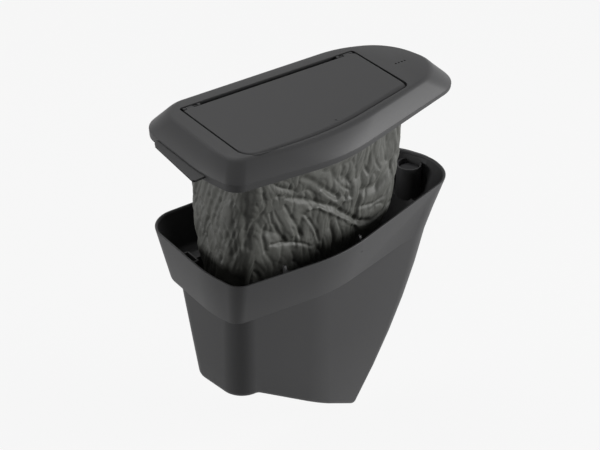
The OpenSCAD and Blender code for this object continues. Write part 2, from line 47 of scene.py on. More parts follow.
# Sizes in millimetres
RIM_L = 315.0
RIM_W = 165.0
HL = RIM_L / 2
HW = RIM_W / 2
COLLAR_H = 53.0
WALL = 3.0
LIP_DROP = 6.0
SHELF_Z = LIP_DROP + WALL
RIM_EDGE_R = 1.2
FOOT_DEPTH = 106.7
FLOOR_SLOPE = 0.653
FLOOR_R = 7.4
BODY_LEFT = -HL + 13.6
BODY_TIP = 132.8
BODY_FRONT = -53.0
BODY_BACK = 50.3
END_LEAN = 0.333
FRONT_LEAN = 0.011
BACK_LEAN = 0.28
KINK_X = BODY_LEFT + 35.8
KINK_W = 4.0
TUBE_X = HL - 18.8
TUBE_Y = 22.7
TUBE_R = 13.5
TUBE_BORE = 11.7
TUBE_TOP = COLLAR_H - 8
CATCH_X = (-88.5, 2.5)
COVER_Z = 158.2
COVER_H = 24.0
COVER_WALL = 2.5
LIP_LEFT = 7.8
LIP_RIGHT = 3.8
LIP_FLARE = 0.3
FLAP_LEFT = -HL + 34.7
FLAP_L = 207.0
FLAP_RIGHT = FLAP_LEFT + FLAP_L
FLAP_BACK = 50.9
FLAP_GAP = 1.5
FLAP_Z = COVER_H - 2.8
SEAT_Z = FLAP_Z - 1.0
SEAT_LOW = SEAT_Z - 2.4
GROOVE_W = 6.2
GROOVE_FRONT = FLAP_BACK - 4.0
GROOVE_FLOOR = SEAT_Z - 6.0
AXIS_Y = FLAP_BACK + 3.0
AXIS_Z = COVER_H - 2.7
BARREL_R = 2.6
CHUTE_Z = 9.0
CHUTE_WALL = 2.2
VENT_X = FLAP_RIGHT + 19
VENT_Y = 7.5
VENT_R = 1.1
VENT_PITCH = 3.8
VENT_COUNT = 4
PRESS_MARK = (-15.4, -49.9)
PRESS_MARK_R = 1.8
SCREW_BOSS_R = 3
POST_BOSS_R = 8
POST_BORE = 6

# Outlines as corners with X, Y and the radius that rounds them
RIM = [(-HL + 1, HW, 32), (-HL, -HW + 49, 150), (-HL + 9.5, -HW + 9, 18), (-28, -HW - 2.7, 180),
       (HL - 5, -HW + 50, 38), (HL + 1.3, 7, 40), (HL - 19.5, HW - 26, 88), (HL - 73.5, HW, 147)]
COLLAR_IN = [(7, -16.4), (8, 0), (7, 13), (0, 15.7), (-32.5, 0.5), (-5, 10), (0, -6), (-4, -16.4)]
RIGHT_CORNER = 5
COLLAR = [(p[0] + q[0], p[1] + q[1], p[2] * (0.75 if i == RIGHT_CORNER else 0.9))
          for i, (p, q) in enumerate(zip(RIM, COLLAR_IN))]
TOP = [(-HL + 17, HW - 10.5, 30), (-HL + 17, -HW + 49, 127), (-HL + 22.8, -HW + 25.5, 26),
       (-35.7, -HW + 8, 300), (HL - 35, -HW + 51.5, 74), (HL - 18.5, 0, 48),
       (HL - 29.6, HW - 32, 59), (HL - 82.2, HW - 10.5, 104)]
FLAP = [(FLAP_LEFT, FLAP_BACK, 2), (FLAP_LEFT, -57.5, 18), (-29.4, -62.7, 300),
        (FLAP_RIGHT + 1.2, -33.7, 9), (FLAP_RIGHT, FLAP_BACK, 3)]
FLAP_TOP = [(FLAP_LEFT + 0.6, FLAP_BACK - 0.4, 2), (FLAP_LEFT + 0.6, -53.5, 17), (-29.4, -58.7, 300),
            (FLAP_RIGHT - 1, -29.7, 8), (FLAP_RIGHT - 0.6, FLAP_BACK - 0.4, 3)]
HOLE = [(FLAP_LEFT + 6, FLAP_BACK - 6, 8), (FLAP_LEFT + 6, -51.5, 14), (-29.4, -56.7, 260),
        (FLAP_RIGHT - 5, -27.7, 9), (FLAP_RIGHT - 6, FLAP_BACK - 6, 8)]
RECESS = [(FLAP_LEFT - FLAP_GAP, FLAP_BACK + GROOVE_W, 3), (FLAP_LEFT - FLAP_GAP, GROOVE_FRONT, 0),
          (FLAP_LEFT - FLAP_GAP, -59, 19), (-29.4, -64.2, 300), (FLAP_RIGHT + 2.7, -35.35, 10),
          (FLAP_RIGHT + 1.63, GROOVE_FRONT, 0), (FLAP_RIGHT + 1.5, FLAP_BACK + GROOVE_W, 4)]


def unit(v):
    """The vector at length 1."""
    return v / np.linalg.norm(v)


def around(corners, i):
    """Corner i with the ones before and after it."""
    n = len(corners)
    return [np.array(corners[(i + k) % n][:2], float) for k in (-1, 0, 1)]


LEAST_R = 0.5


def inset(corners, d):
    """Moves every side of a corner list inward by d."""
    moved = []
    for i, corner in enumerate(corners):
        a, b, c = around(corners, i)
        u, v = unit(b - a), unit(c - b)
        m, n = np.array([-u[1], u[0]]), np.array([-v[1], v[0]])
        q = b + d * (m + n) / (1 + m @ n)
        radius = 0 if corner[2] == 0 else max(corner[2] - d, LEAST_R)
        moved.append((q[0], q[1], radius))
    return moved


def ring(corners, steps=STEPS):
    """Points of an outline with rounded corners; two roundings that meet share their side."""
    count = len(corners)
    reach = []
    for i, corner in enumerate(corners):
        a, b, c = around(corners, i)
        half = math.acos(max(-1, min(1, unit(a - b) @ unit(c - b)))) / 2
        reach.append(corner[2] / math.tan(half) if corner[2] else 0.0)
    points = []
    for i, corner in enumerate(corners):
        a, b, c = around(corners, i)
        if corner[2] == 0:
            points.append(b)
            continue
        before = 0.99 * np.linalg.norm(b - a) / (reach[i] + reach[i - 1] + 0.01)
        after = 0.99 * np.linalg.norm(c - b) / (reach[i] + reach[(i + 1) % count] + 0.01)
        share = min(1, before, after)
        r = corner[2] * share
        u, v = unit(a - b), unit(c - b)
        half = math.acos(u @ v) / 2
        centre = b + unit(u + v) * r / math.sin(half)
        p = b + u * r / math.tan(half) - centre
        start = math.atan2(p[1], p[0])
        for k in range(steps + 1):
            w = start + (math.pi - 2 * half) * k / steps
            points.append(centre + r * np.array([math.cos(w), math.sin(w)]))
    return np.array(points)


def level(points, z):
    """Plan points at one height."""
    return np.column_stack([points, np.full(len(points), float(z))])


def mix(a, b, t):
    """From a at 0 to b at 1."""
    return a + (b - a) * t


def inside(polygon, x, y):
    """Whether the points x, y lie in a polygon."""
    a, b = polygon, np.roll(polygon, -1, axis=0)
    crosses = 0
    for p, q in zip(a, b):
        if p[1] == q[1]:
            continue
        meets = (q[0] - p[0]) * (y - p[1]) / (q[1] - p[1]) + p[0]
        crosses = crosses + (((p[1] > y) != (q[1] > y)) & (x < meets))
    return crosses % 2 == 1


def circle(x, y, r, count=32):
    w = np.arange(count) * 2 * math.pi / count
    return np.column_stack([x + r * np.cos(w), y + r * np.sin(w)])


def rounded(path, steps=3):
    """A profile of (inset, height, radius) points with its corners rounded."""
    points = []
    for i, (d, z, r) in enumerate(path):
        b = np.array([d, z], float)
        if r == 0 or i in (0, len(path) - 1):
            points.append(b)
            continue
        a = np.array(path[i - 1][:2], float)
        c = np.array(path[i + 1][:2], float)
        u, v = unit(a - b), unit(c - b)
        p, q = b + u * r, b + v * r
        for k in range(steps + 1):
            t = k / steps
            points.append(p * (1 - t) ** 2 + 2 * b * t * (1 - t) + q * t * t)
    return points


# Delaunay output that keeps what the outer loop encloses
CDT_INSIDE = 1


class Shell:
    """Collects loops of points in millimetres and the faces between them."""

    def __init__(self):
        self.points = []
        self.faces = []

    def loop(self, points):
        """Adds points and gives their numbers."""
        first = len(self.points)
        self.points.extend(np.asarray(points, float))
        return list(range(first, len(self.points)))

    def band(self, a, b):
        n = len(a)
        for i in range(n):
            j = (i + 1) % n
            self.faces.append((a[i], a[j], b[j], b[i]))

    def wrap(self, rings):
        """Joins each ring to the next."""
        loops = [self.loop(r) for r in rings]
        for a, b in zip(loops, loops[1:]):
            self.band(a, b)
        return loops

    def fill(self, outer, holes=(), down=False):
        """Closes a flat region between one loop and the holes in it."""
        members = list(outer) + [i for h in holes for i in h]
        flat = [Vector(self.points[i][:2]) for i in members]
        edges = []
        start = 0
        for part in [outer, *holes]:
            n = len(part)
            edges += [(start + k, start + (k + 1) % n) for k in range(n)]
            start += n
        places, _, triangles, sources, _, _ = geometry.delaunay_2d_cdt(flat, edges, [], CDT_INSIDE, 1e-6)
        origin = []
        for place, source in zip(places, sources):
            if source:
                origin.append(members[source[0]])
            else:
                origin.append(len(self.points))
                self.points.append(np.array([place[0], place[1], self.points[outer[0]][2]]))
        for triangle in triangles:
            tri = [origin[k] for k in triangle]
            middle = np.mean([self.points[i][:2] for i in tri], axis=0)
            if any(inside(np.array([self.points[i][:2] for i in h]), *middle) for h in holes):
                continue
            self.faces.append(tuple(reversed(tri)) if down else tuple(tri))

    def box(self, low, high, bevel=0.3):
        x0, y0, z0 = low
        x1, y1, z1 = high
        corners = [(x0, y0, bevel), (x1, y0, bevel), (x1, y1, bevel), (x0, y1, bevel)]
        self.prism(corners, z0, z1, bevel)

    def prism(self, corners, z0, z1, bevel=0.3):
        side = ring(corners, 3)
        end = ring(inset(corners, bevel), 3)
        loops = self.wrap([level(end, z0), level(side, z0 + bevel), level(side, z1 - bevel), level(end, z1)])
        self.fill(loops[0], down=True)
        self.fill(loops[-1])

    def drum(self, x, y, z0, z1, r, bevel=0.3, bore=0.0, floor=0.0):
        """Upright cylinder, with a blind bore from its lower end when a bore is given."""
        loops = self.wrap([level(circle(x, y, r - bevel), z0), level(circle(x, y, r), z0 + bevel),
                           level(circle(x, y, r), z1 - bevel), level(circle(x, y, r - bevel), z1)])
        self.fill(loops[-1])
        if bore:
            inner = self.wrap([level(circle(x, y, bore), z0), level(circle(x, y, bore), floor)])
            self.fill(loops[0], [inner[0]], down=True)
            self.fill(inner[1], down=True)
        else:
            self.fill(loops[0], down=True)


def smooth(mesh, angle=SHARP):
    """Shades a mesh smooth, with edges sharper than the angle kept."""
    mesh.polygons.foreach_set("use_smooth", [True] * len(mesh.polygons))
    mesh.set_sharp_from_angle(angle=math.radians(angle))


def piece(name, shell, material, body, sharp=SHARP, lift=0.0):
    """Makes the shell into a smooth-shaded mesh that rides on a body."""
    mesh = bpy.data.meshes.new(name)
    points = [(p[0] * MM, p[1] * MM, (p[2] + lift) * MM) for p in shell.points]
    mesh.from_pydata(points, [], shell.faces)
    work = bmesh.new()
    work.from_mesh(mesh)
    bmesh.ops.remove_doubles(work, verts=work.verts, dist=1e-6)
    bmesh.ops.recalc_face_normals(work, faces=work.faces)
    work.to_mesh(mesh)
    work.free()
    smooth(mesh, sharp)
    obj = bpy.data.objects.new(name, mesh)
    bpy.context.scene.collection.objects.link(obj)
    mesh.materials.append(material)
    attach(obj, body)
    return obj


# Materials
def new_material(name):
    material = bpy.data.materials.new(name)
    material.use_nodes = True
    tree = material.node_tree
    return material, tree, tree.nodes["Principled BSDF"]


def noise_node(tree, scale, detail=2.0, stretch=None, rough=0.5):
    coords = tree.nodes.new("ShaderNodeTexCoord")
    tex = tree.nodes.new("ShaderNodeTexNoise")
    tex.inputs["Scale"].default_value = scale
    tex.inputs["Detail"].default_value = detail
    tex.inputs["Roughness"].default_value = rough
    if stretch:
        mapping = tree.nodes.new("ShaderNodeMapping")
        mapping.inputs["Scale"].default_value = stretch
        tree.links.new(coords.outputs["Object"], mapping.inputs["Vector"])
        tree.links.new(mapping.outputs["Vector"], tex.inputs["Vector"])
    else:
        tree.links.new(coords.outputs["Object"], tex.inputs["Vector"])
    return tex.outputs["Fac"]


def ranged(tree, value, low, high):
    """Spreads a noise value between two numbers."""
    node = tree.nodes.new("ShaderNodeMapRange")
    node.inputs["From Min"].default_value = 0.3
    node.inputs["From Max"].default_value = 0.7
    node.inputs["To Min"].default_value = low
    node.inputs["To Max"].default_value = high
    tree.links.new(value, node.inputs["Value"])
    return node.outputs["Result"]


def bump(tree, value, strength, distance):
    node = tree.nodes.new("ShaderNodeBump")
    node.inputs["Strength"].default_value = strength
    node.inputs["Distance"].default_value = distance
    tree.links.new(value, node.inputs["Height"])
    return node.outputs["Normal"]


def tinted(tree, value, dark, light):
    """Blends two colours by a noise value."""
    node = tree.nodes.new("ShaderNodeMix")
    node.data_type = "RGBA"
    node.inputs["A"].default_value = (*dark, 1)
    node.inputs["B"].default_value = (*light, 1)
    tree.links.new(value, node.inputs["Factor"])
    return node.outputs["Result"]


# How much light the matt grain of the plastic and the film throw back as gloss
GLOSS = 0.22
FILM_GLOSS = 0.3


def plastic(name, tone, rough=0.5, grain=0.00004, spread=0.06):
    """Moulded plastic with a fine spark-eroded grain."""
    material, tree, shader = new_material(name)
    fine = noise_node(tree, 2300, 2.0)
    broad = noise_node(tree, 14, 2.0)
    low = tuple(c * (1 - spread) for c in tone)
    high = tuple(c * (1 + spread) for c in tone)
    tree.links.new(tinted(tree, broad, low, high), shader.inputs["Base Color"])
    tree.links.new(ranged(tree, fine, rough - 0.05, rough + 0.05), shader.inputs["Roughness"])
    tree.links.new(bump(tree, fine, 0.6, grain), shader.inputs["Normal"])
    shader.inputs["Specular IOR Level"].default_value = GLOSS
    return material


def metal(name, tone, rough=0.3):
    """Drawn or turned metal with fine marks round it."""
    material, tree, shader = new_material(name)
    fine = noise_node(tree, 900, 3.0, (1, 1, 6))
    shader.inputs["Metallic"].default_value = 1.0
    tree.links.new(tinted(tree, fine, tuple(c * 0.85 for c in tone), tone), shader.inputs["Base Color"])
    tree.links.new(ranged(tree, fine, rough - 0.08, rough + 0.08), shader.inputs["Roughness"])
    tree.links.new(bump(tree, fine, 0.3, 0.00003), shader.inputs["Normal"])
    return material


shell_mat = plastic("shell_plastic", (0.037, 0.037, 0.038))
lid_mat = plastic("lid_plastic", (0.032, 0.032, 0.033))
inner_mat = plastic("inner_plastic", (0.035, 0.035, 0.036), 0.55)
cushion_mat = plastic("cushion_foam", (0.055, 0.055, 0.057), 0.85, 0.00012)
button_mat = plastic("button_plastic", (0.06, 0.06, 0.062), 0.4)
rubber_mat = plastic("rubber", (0.012, 0.012, 0.012), 0.8, 0.00006)
steel_mat = metal("steel", (0.5, 0.5, 0.51))
dark_steel_mat = metal("blackened_steel", (0.05, 0.05, 0.05), 0.5)


def collar_at(z):
    """Outline of the collar at a height, from its foot to the rim."""
    t = z / COLLAR_H
    return [tuple(mix(np.array(c, float), np.array(r, float), t)) for c, r in zip(COLLAR, RIM)]


def body_corners(z):
    """Outline of the body at a height; the back and the right end lean in with depth."""
    if z < 0:
        tip = BODY_TIP + END_LEAN * z - z * z / 1000
    else:
        tip = mix(BODY_TIP, HL, z / COLLAR_H)
    front = BODY_FRONT - FRONT_LEAN * z
    back = BODY_BACK + BACK_LEAN * z
    nose = BODY_LEFT + 9.7
    mid = -33.6
    kinks = [KINK_X + KINK_W * s for s in (-1, -0.6, -0.2, 0.2, 0.6, 1)]
    return ([(BODY_LEFT, back, 16.5), (nose, front + 2, 34)]
            + [(x, front + 2 * (mid - x) / (mid - nose), 0) for x in kinks]
            + [(mid, front, 180), (tip - 4.7, front + 15.4, 41)]
            + [(tip + 1, 7 + 0.14 * z, 40), (tip - 20, back, 50)]
            + [(x, back, 0) for x in reversed(kinks)])


DEPTH_STEP = 10
DEPTHS = np.arange(0, -231, -float(DEPTH_STEP))


def body_table(d):
    """Outlines of the body, inset by d, at every depth."""
    return np.array([ring(inset(body_corners(z), d)) for z in DEPTHS])


def at_depth(table, z):
    """Point of each column of the body's wall at its own height z."""
    t = np.clip(-z / DEPTH_STEP, 0, len(DEPTHS) - 1.001)
    k = t.astype(int)
    f = (t - k)[:, None]
    i = np.arange(table.shape[1])
    flat = table[k, i] * (1 - f) + table[k + 1, i] * f
    return np.column_stack([flat, z])


def floor_height(x):
    """Level on the left, then sloping down beyond a rounded fold."""
    rise = np.clip(x - KINK_X + KINK_W, 0, 2 * KINK_W) ** 2 / (4 * KINK_W)
    return -FOOT_DEPTH - FLOOR_SLOPE * (rise + np.clip(x - KINK_X - KINK_W, 0, None))


def floor_ring(d, j):
    """Ring that hugs the folded floor at height j above it, inset by d from the walls."""
    table = body_table(d)
    z = np.full(table.shape[1], -FOOT_DEPTH)
    for _ in range(40):
        z = floor_height(at_depth(table, z)[:, 0]) + j
    return at_depth(table, z)


def zip_floor(shell, loop, down):
    """Closes the folded floor by strips across its width."""
    fold = 2 * (STEPS + 1)
    last = fold + len(loop) - 1
    head = [loop[-1]] + [loop[i] for i in range(fold + 1)]
    shell.fill(head, down=down)
    for i in range(fold, (last - 3) // 2 + 1):
        quad = (loop[i], loop[i + 1], loop[last - i - 1], loop[last - i])
        shell.faces.append(quad if not down else tuple(reversed(quad)))


def solid(rings, floor=False):
    """Closed shell through rings, from the lowest up."""
    shell = Shell()
    loops = shell.wrap(rings)
    if floor:
        zip_floor(shell, loops[0], True)
    else:
        shell.fill(loops[0], down=True)
    shell.fill(loops[-1])
    return shell


def body_solid(d, j, r, top):
    """The body's form, inset by d from its walls and j from its floor, with an edge of radius r."""
    turns = [math.radians(a) for a in range(0, 91, 15)]
    rings = [floor_ring(d + r * (1 - math.sin(a)), j + r * (1 - math.cos(a))) for a in turns]
    table = body_table(d)
    for share in (0.8, 0.6, 0.4, 0.2, 0):
        rings.append(at_depth(table, rings[len(turns) - 1][:, 2] * share))
    rings += [level(ring(inset(body_corners(z), d)), z) for z in (top * 0.5, top)]
    return solid(rings, True)


def collar_rings(path):
    """The collar's outline at each inset and height of a profile."""
    return [level(ring(inset(collar_at(z), d)), z) for d, z in path]


def combine(base, others, name):
    """Joins or cuts closed meshes exactly and leaves the result in base."""
    for other, way in others:
        cut = base.modifiers.new("cut", "BOOLEAN")
        cut.operation = way
        cut.solver = "EXACT"
        cut.object = other
    graph = bpy.context.evaluated_depsgraph_get()
    mesh = bpy.data.meshes.new_from_object(base.evaluated_get(graph))
    base.modifiers.clear()
    base.data = mesh
    mesh.name = name
    for other, _ in others:
        bpy.data.objects.remove(other)


def make_tub():
    """Collar and body joined, then hollowed, with the collar's lip left hanging past the shelf."""
    outer = [(WALL, 0, 0), (0, 0, 0.7), (0, COLLAR_H, RIM_EDGE_R), (WALL / 2, COLLAR_H, 0)]
    collar = solid(collar_rings(rounded(outer)))
    under = solid(collar_rings([(WALL, -2), (WALL, LIP_DROP)]))
    inner = [(WALL + 8, SHELF_Z, 0), (WALL + 6, SHELF_Z, 1), (WALL, SHELF_Z + 6, 2),
             (WALL, COLLAR_H - RIM_EDGE_R, 0.8), (1.6, COLLAR_H + 0.4, 0)]
    hollow = solid(collar_rings(rounded(inner)))
    body = body_solid(0, 0, FLOOR_R, COLLAR_H - 1)
    room = body_solid(WALL, WALL, FLOOR_R - WALL, COLLAR_H - 3)
    tub = piece("tub_shell", collar, shell_mat, "tub_body")
    parts = [(under, "DIFFERENCE"), (body, "UNION"), (hollow, "DIFFERENCE"), (room, "DIFFERENCE")]
    combine(tub, [(piece("part", shell, shell_mat, "tub_body"), way) for shell, way in parts], "tub_shell")
    smooth(tub.data)
    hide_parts("tub")


def front_y(corners, x):
    """Y of an outline's front side at x."""
    points = ring(corners)
    points = points[points[:, 1] < -20]
    points = points[np.argsort(points[:, 0])]
    return float(np.interp(x, points[:, 0], points[:, 1]))


def make_tube():
    """Socket for the post, which stands on the shelf."""
    shell = Shell()
    profile = rounded([(TUBE_R, LIP_DROP + 1, 0), (TUBE_R, TUBE_TOP, 0.6), (TUBE_BORE, TUBE_TOP, 0.6),
                       (TUBE_BORE, SHELF_Z, 0)])
    shell.wrap([level(circle(TUBE_X, TUBE_Y, r, 64), z) for r, z in profile])
    piece("tub_tube", shell, shell_mat, "tub_body")


def make_catches():
    """Sleeve on the left wall, and two lugs on the front wall that the cover's ribs straddle."""
    shell = Shell()
    z0, z1 = COLLAR_H - 22, COLLAR_H - 6
    x0, x1 = -HL + 4, -HL + 13
    y0, y1 = -3, 17
    t = 1.8
    shell.box((x1 - t, y0, z0), (x1, y1, z1))
    shell.box((x0, y0, z0), (x1 - 0.3, y0 + t, z1))
    shell.box((x0, y1 - t, z0), (x1 - 0.3, y1, z1))
    for x, y, reach in zip(CATCH_X, (-HW + 5, -HW + 7.5), (11, 8.5)):
        low, high = (front_y(inset(collar_at(COLLAR_H + v), 1.4), x) for v in (-17, -2.5))
        side = [(low, -17), (y + 3, -17), (y + reach, -9), (y + reach, 1), (y + reach - 2.5, 1),
                (y + reach - 4, -2.5), (high, -2.5)]
        a = shell.loop([(x - 1.1, u, COLLAR_H + v) for u, v in side])
        b = shell.loop([(x + 1.1, u, COLLAR_H + v) for u, v in side])
        shell.band(a, b)
        shell.faces.append(tuple(a))
        shell.faces.append(tuple(reversed(b)))
    piece("tub_catches", shell, shell_mat, "tub_body")


make_tub()
make_tube()
make_catches()


def lip_height(x):
    """Height of the cover's lip, which narrows to the right."""
    return LIP_LEFT - (LIP_LEFT - LIP_RIGHT) * (x + HL) / RIM_L


def lip_ring(corners, d):
    """An outline at the height of the lip, plus d."""
    flat = ring(corners)
    return np.array([(p[0], p[1], lip_height(p[0]) + d) for p in flat])


def make_cover():
    """The cover's skin inside and out, with the flap's recess, hinge groove and chute."""
    shell = Shell()
    bevel_low = lip_ring(inset(RIM, LIP_FLARE), 0.3)
    bevel_high = level(ring(TOP), COVER_H - 0.9)
    flat_edge = level(ring(inset(TOP, 3.4)), COVER_H)
    knee = mix(bevel_low, bevel_high, 0.86)
    crease = [knee * (1 - t) ** 2 + 2 * bevel_high * t * (1 - t) + flat_edge * t * t
              for t in np.linspace(0, 1, 7)]
    lip = [lip_ring(inset(RIM, d), z) for d, z in ((-LIP_FLARE, -0.7), (-0.25, -0.3), (0, 0), (0.2, 0.0))]
    outer = [level(ring(inset(RIM, COVER_WALL)), 0), level(ring(inset(RIM, 0.5)), 0), level(ring(RIM), 0.5),
             *lip, bevel_low, *crease]
    skin = shell.wrap(outer)
    under = shell.wrap([level(ring(inset(RIM, COVER_WALL)), 0), lip_ring(inset(RIM, COVER_WALL), -0.6),
                        level(ring(inset(TOP, COVER_WALL)), COVER_H - COVER_WALL)])
    edge = shell.wrap([level(ring(inset(RECESS, d)), z) for d, z in
                       rounded([(-0.5, COVER_H, 0), (0, COVER_H, 0.4), (0, SEAT_Z, 0)])])
    vents = [circle(VENT_X + VENT_PITCH * i, VENT_Y, VENT_R, 20) for i in range(VENT_COUNT)]
    vent_top = [shell.loop(level(v, COVER_H)) for v in vents]
    vent_low = [shell.loop(level(v, COVER_H - COVER_WALL)) for v in vents]
    for a, b in zip(vent_top, vent_low):
        shell.band(a, b)
    shell.fill(skin[-1], [edge[0], *vent_top])
    # The recess's foot is split into the part round the opening and the part along the groove
    rest = edge[-1]
    back = [i for i in rest if shell.points[i][1] >= GROOVE_FRONT - 0.01]
    order = [rest.index(i) for i in back]
    cut = next((k for k in range(1, len(order)) if order[k] != order[k - 1] + 1), 0)
    back = back[cut:] + back[:cut]
    front = [i for i in rest if shell.points[i][1] <= GROOVE_FRONT + 0.01]
    chute = rounded([(0, SEAT_Z, 0), (0, CHUTE_Z, 0.5), (-CHUTE_WALL, CHUTE_Z, 0.5),
                     (-CHUTE_WALL, SEAT_LOW, 0)])
    mouth = shell.wrap([level(ring(inset(HOLE, d)), z) for d, z in chute])
    shell.fill(front, [mouth[0]])
    sunk = shell.loop([(shell.points[i][0], shell.points[i][1], GROOVE_FLOOR) for i in back])
    shell.band(back, sunk)
    shell.fill(sunk)
    block = shell.wrap([level(ring(inset(RECESS, -2)), z) for z in (SEAT_LOW, COVER_H - COVER_WALL)])
    shell.fill(block[0], [mouth[-1]], down=True)
    shell.fill(under[-1], [block[1], *vent_low], down=True)
    cover = piece("cover_shell", shell, shell_mat, "cover_body", lift=COVER_Z)
    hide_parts("cover")


def beneath_cover(shell):
    """Lowers the upper points of a shell to just under the cover's skin."""
    shares = np.linspace(0, 1, 40)
    ceiling = COVER_H - 1.2
    low = lip_ring(inset(RIM, 1), 0)
    high = level(ring(inset(TOP, 1)), ceiling)
    for i, p in enumerate(shell.points):
        if p[2] > CHUTE_Z + 1:
            tops = [mix(lip_height(p[0]), ceiling, t) for t in shares
                    if inside(mix(low, high, t)[:, :2], p[0], p[1])]
            shell.points[i][2] = min(p[2], max(tops, default=lip_height(p[0])) - 0.4)


BOSSES = [(FLAP_LEFT - 7.4, 30), (FLAP_LEFT - 7.4, -34), (-70, -66.5), (38, -54), (FLAP_RIGHT + 9, -16),
          (FLAP_RIGHT + 9, 34)]


def cross_drum(shell, x0, x1, y, z, r, count=32):
    """Cylinder along X."""
    w = np.arange(count) * 2 * math.pi / count
    ends = []
    for x, q in ((x0, r - 0.2), (x0 + 0.2, r), (x1 - 0.2, r), (x1, r - 0.2)):
        ends.append(shell.loop(np.column_stack([np.full(count, x), y + q * np.cos(w), z + q * np.sin(w)])))
    for a, b in zip(ends, ends[1:]):
        shell.band(a, b)
    shell.faces.append(tuple(reversed(ends[0])))
    shell.faces.append(tuple(ends[-1]))


def make_underside():
    """Groove floor, bosses for screws and post, and ribs beside the tub's lugs."""
    shell = Shell()
    shell.box((FLAP_LEFT - FLAP_GAP - 2, GROOVE_FRONT - 2, GROOVE_FLOOR - 2),
              (FLAP_RIGHT + FLAP_GAP + 2, FLAP_BACK + GROOVE_W + 2, GROOVE_FLOOR - 0.05), 0.02)
    for x, y in BOSSES:
        shell.drum(x, y, CHUTE_Z, COVER_H - 2, SCREW_BOSS_R)
    shell.drum(TUBE_X, TUBE_Y, -11.6, COVER_H - 2, POST_BOSS_R, 0.5, POST_BORE, 9.4)
    for x in CATCH_X:
        front = front_y(inset(RIM, 1.5), x)
        for s in (-1, 1):
            middle = x + s * 2.7
            shell.box((middle - 0.7, front, 1.5), (middle + 0.7, -HW + 16, 5))
    beneath_cover(shell)
    piece("cover_underside", shell, inner_mat, "cover_body", lift=COVER_Z)


def make_ears():
    """Ears in the groove that carry the hinge pins."""
    ears = Shell()
    for x, way in ((FLAP_LEFT, 1), (FLAP_RIGHT, -1)):
        for a in (1.5, 17.9):
            x0, x1 = sorted((x + way * a, x + way * (a + 3)))
            cross_drum(ears, x0, x1, AXIS_Y, AXIS_Z, BARREL_R)
            ears.box((x0, AXIS_Y - BARREL_R, GROOVE_FLOOR - 0.4), (x1, AXIS_Y + BARREL_R, AXIS_Z), 0.15)
    piece("cover_ears", ears, shell_mat, "cover_body", lift=COVER_Z)


def make_ledge():
    """Pull ledge at the left end, which widens toward the front."""
    ledge = Shell()
    corners = [(-HL - 11, -38, 1), (-HL - 12, -36, 1.5), (-HL - 6.6, 31, 2), (-HL - 6, 38, 3),
               (-HL - 2.5, 44, 3), (-HL + 4, 46, 0.5), (-HL + 4, -38, 0.5)]
    ledge.prism(corners, 3.8, 6.0, 0.5)
    piece("cover_ledge", ledge, shell_mat, "cover_body", lift=COVER_Z)


def make_flap():
    """The flap's panel with its barrels, the bosses of its screws and the dimple of the press mark."""
    shell = Shell()
    low = [level(ring(inset(FLAP, 0.4)), FLAP_Z), level(ring(FLAP), FLAP_Z + 0.4),
           level(ring(FLAP), COVER_H - 1.7)]
    crown = level(ring(FLAP), COVER_H - 1.3)
    top = level(ring(FLAP_TOP), COVER_H)
    rise = [mix(low[-1], crown, 0.6), mix(crown, top, 0.06), mix(crown, top, 0.9),
            level(ring(inset(FLAP_TOP, 0.5)), COVER_H), level(ring(inset(FLAP_TOP, 1.3)), COVER_H)]
    loops = shell.wrap([*low, *rise])
    rim = shell.loop(level(circle(*PRESS_MARK, PRESS_MARK_R, 24), COVER_H))
    cup = shell.loop(level(circle(*PRESS_MARK, PRESS_MARK_R - 0.3, 24), COVER_H - 0.4))
    shell.band(rim, cup)
    shell.fill(cup)
    shell.fill(loops[0], down=True)
    shell.fill(loops[-1], [rim])
    for x, way in ((FLAP_LEFT, 1), (FLAP_RIGHT, -1)):
        x0, x1 = sorted((x + way * 4.9, x + way * 12.9))
        cross_drum(shell, x0, x1, AXIS_Y, AXIS_Z, BARREL_R)
        shell.box((x0, AXIS_Y - 5, FLAP_Z), (x1, AXIS_Y, COVER_H - 0.3), 0.15)
    left, right = FLAP_LEFT + 18, FLAP_RIGHT - 18
    for x, y in ((left, 32), (left, -38), (right, 32), (right, -20)):
        shell.drum(x, y, FLAP_Z - 1.9, FLAP_Z + 0.5, SCREW_BOSS_R)
    flap = piece("flap_shell", shell, lid_mat, "flap_body", lift=COVER_Z)
    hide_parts("flap_panel")


make_cover()
make_underside()
make_ears()
make_ledge()
make_flap()


# Bag
def film(name):
    """Thin dark film with a sheen that breaks at its fine creases."""
    material, tree, shader = new_material(name)
    crease = noise_node(tree, 520, 4.0, (1, 1, 0.5), 0.6)
    broad = noise_node(tree, 60, 3.0)
    colour = tinted(tree, broad, (0.048, 0.049, 0.044), (0.084, 0.085, 0.077))
    tree.links.new(colour, shader.inputs["Base Color"])
    tree.links.new(ranged(tree, broad, 0.50, 0.62), shader.inputs["Roughness"])
    tree.links.new(bump(tree, crease, 0.4, 0.0003), shader.inputs["Normal"])
    shader.inputs["Specular IOR Level"].default_value = FILM_GLOSS
    return material


film_mat = film("bag_film")

# Outlines of the hanging bag at heights from the cover's lower edge
BAG_MOUTH = [(-121.1, 49.2, 12), (-121.1, -55.8, 18), (-29.4, -61, 264), (83.5, -32, 13), (82.5, 49.2, 12)]
BAG = [(3.0, BAG_MOUTH),
       (-5.0, BAG_MOUTH),
       (-55.0, [(-128, 43, 14), (-128, -45.5, 26), (-30, -47, 240), (84, -37, 20), (84, 43, 16)]),
       (-110.0, [(-133, 29, 14), (-133, -44, 26), (-25, -45.5, 240), (74, -37, 20), (74, 29, 16)]),
       (-135.0, [(-132, 19, 14), (-132, -42, 26), (-20, -43.5, 240), (60, -37, 20), (60, 19, 16)])]
BAG_LOW = -148.0
BAG_CENTRE = np.array([-30, -3, 0])

# Unseeded, the vector noise starts from the clock and the film differs from run to run
FILM_SEED = 1795989769
noise.seed_set(FILM_SEED)

